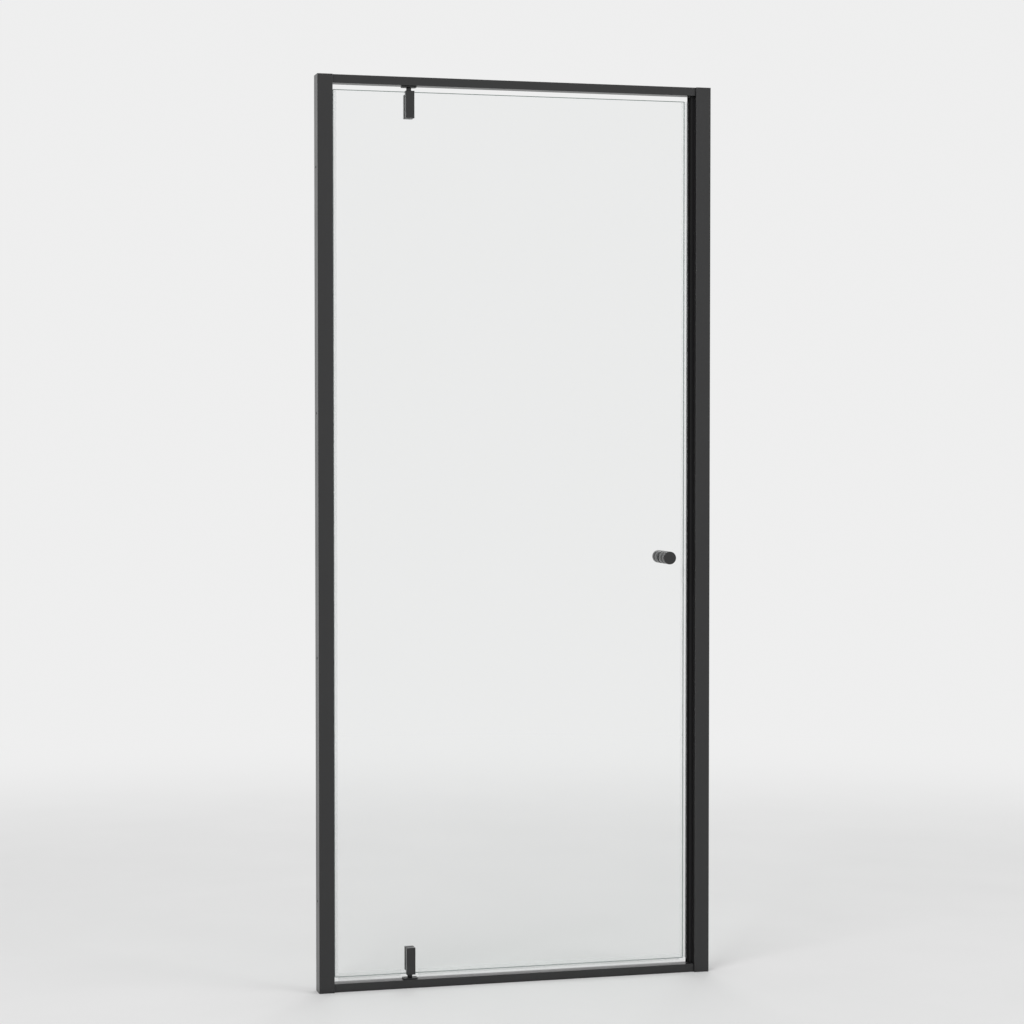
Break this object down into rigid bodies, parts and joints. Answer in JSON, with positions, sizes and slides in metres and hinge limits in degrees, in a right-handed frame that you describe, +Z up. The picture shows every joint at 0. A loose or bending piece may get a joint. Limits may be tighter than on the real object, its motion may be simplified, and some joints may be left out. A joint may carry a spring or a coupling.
{
  "type": "pivot shower door",
  "caption": "Framed pivot shower door for a niche: slim black frame, clear glass leaf turning on top and bottom pivots near its left edge, round black knobs.",
  "frame": {"origin": "middle of the opening, middle of the glass's thickness, underside of the frame", "axes": "X along the opening with the pivots on the -X side, -Y out of the shower towards the room, +Z up"},
  "size_m": [0.875, 0.085, 1.95],
  "materials": {
    "black_aluminium": "satin",
    "black_fitting": "satin",
    "black_steel": "satin",
    "stainless_steel": "satin",
    "black_plastic": "matte",
    "black_rubber": "matte",
    "magnet_strip": "satin",
    "nylon": "satin",
    "clear_seal": "gloss",
    "clear_glass": "gloss"
  },
  "bodies": {
    "frame": {"wall_channel_left": "black_aluminium", "wall_channel_right": "black_aluminium", "jamb_profile_left": "black_aluminium", "jamb_profile_right": "black_aluminium", "channel_cap_left": "black_plastic", "channel_cap_right": "black_plastic", "jamb_screws": "stainless_steel", "screw_caps": "black_plastic", "top_rail": "black_aluminium", "threshold_rail": "black_aluminium", "corner_screws": "stainless_steel", "pivot_bush_top": "black_plastic", "pivot_bush_bottom": "black_plastic", "bush_screws": "black_steel", "strike_profile": "black_aluminium", "strike_screws": "stainless_steel", "strike_magnet": "magnet_strip"},
    "leaf": {"glass_pane": "clear_glass", "closing_seal": "clear_seal", "closing_magnet": "magnet_strip", "pivot_side_seal": "clear_seal", "drip_seal_short": "clear_seal", "drip_seal_long": "clear_seal", "clamp_front_top": "black_fitting", "clamp_back_top": "black_fitting", "clamp_gaskets_top": "black_rubber", "pivot_pin_top": "black_steel", "clamp_front_bottom": "black_fitting", "clamp_back_bottom": "black_fitting", "clamp_gaskets_bottom": "black_rubber", "pivot_pin_bottom": "black_steel", "clamp_screws": "black_steel", "clamp_sleeves": "nylon", "knob_front": "black_fitting", "knob_back": "black_fitting", "knob_washers": "black_rubber", "knob_sleeve": "nylon", "knob_stud": "stainless_steel"}
  },
  "joints": [
    {"name": "door_swing", "type": "hinge", "parent": "frame", "child": "leaf", "pos_m": [-0.2365, 0, 0.975], "axis": [0, 0, -1], "range_deg": [0, 95]}
  ]
}
